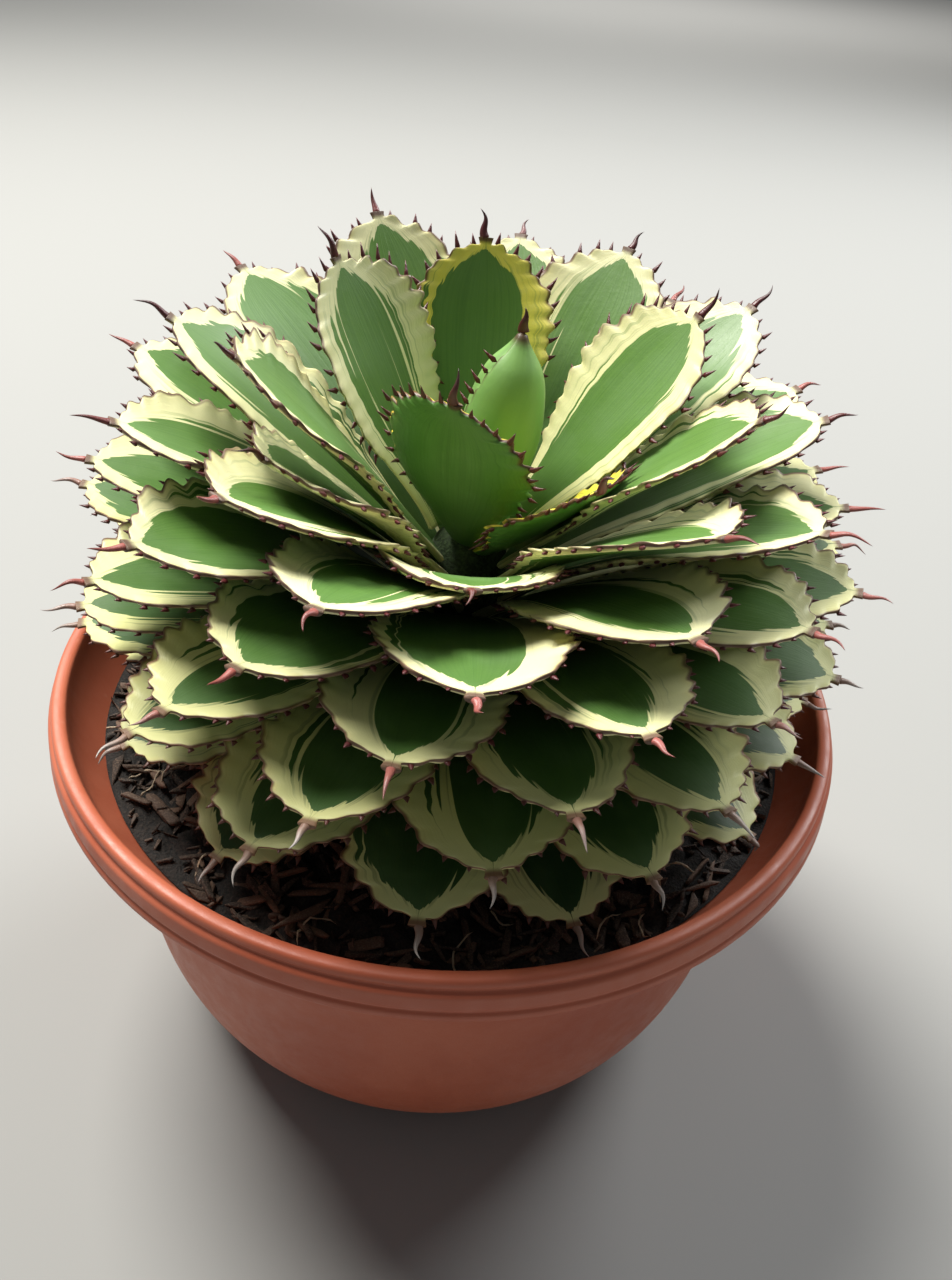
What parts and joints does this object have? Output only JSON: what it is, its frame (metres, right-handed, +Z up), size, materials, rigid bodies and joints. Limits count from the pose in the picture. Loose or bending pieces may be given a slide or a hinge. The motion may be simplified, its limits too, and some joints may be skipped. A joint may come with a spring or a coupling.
{
  "type": "potted agave",
  "caption": "Potted variegated dwarf butterfly agave: a globe rosette of toothed, cream-edged leaves in soil in a round rolled-rim plastic bowl.",
  "frame": {"origin": "middle of the bowl's flat base", "axes": "+Z up along the bowl's axis; -Y is the side that the picture looks at, +X to the right"},
  "size_m": [0.301, 0.3, 0.3139],
  "materials": {
    "pot": "satin terracotta-coloured plastic, faintly scuffed",
    "soil": null,
    "leaf": null,
    "young_leaf": null
  },
  "bodies": {
    "root": {"pot": "pot", "soil": "soil", "stem_with_low_leaves": "leaf", "leaf_01": "leaf", "leaf_02": "leaf", "leaf_03": "leaf", "leaf_04": "leaf", "leaf_05": "leaf", "leaf_06": "leaf", "leaf_07": "leaf", "leaf_08": "leaf", "leaf_09": "leaf", "leaf_10": "leaf", "leaf_11": "leaf", "leaf_12": "leaf", "leaf_13": "leaf", "leaf_14": "leaf", "leaf_15": "leaf", "leaf_16": "leaf", "leaf_17": "leaf", "leaf_18": "leaf", "leaf_19": "leaf", "leaf_20": "leaf", "leaf_21": "leaf", "leaf_22": "leaf", "leaf_23": "leaf", "leaf_24": "leaf", "leaf_25": "leaf", "leaf_26": "leaf", "leaf_27": "leaf", "leaf_28": "leaf", "leaf_29": "leaf", "leaf_30": "leaf", "leaf_31": "leaf", "leaf_32": "leaf", "leaf_33": "leaf", "leaf_34": "leaf", "leaf_35": "leaf", "leaf_36": "leaf", "leaf_37": "leaf", "leaf_38": "leaf", "leaf_39": "leaf", "leaf_40": "leaf", "leaf_41": "leaf", "leaf_42": "leaf", "leaf_43": "leaf", "leaf_44": "leaf", "leaf_45": "leaf", "leaf_46": "leaf", "leaf_47": "leaf", "leaf_48": "leaf", "leaf_49": "leaf", "leaf_50": "leaf", "leaf_51": "leaf", "leaf_52": "leaf", "leaf_53": "leaf", "leaf_54": "leaf", "leaf_55": "leaf", "leaf_56": "leaf", "heart": "young_leaf"}
  },
  "joints": []
}
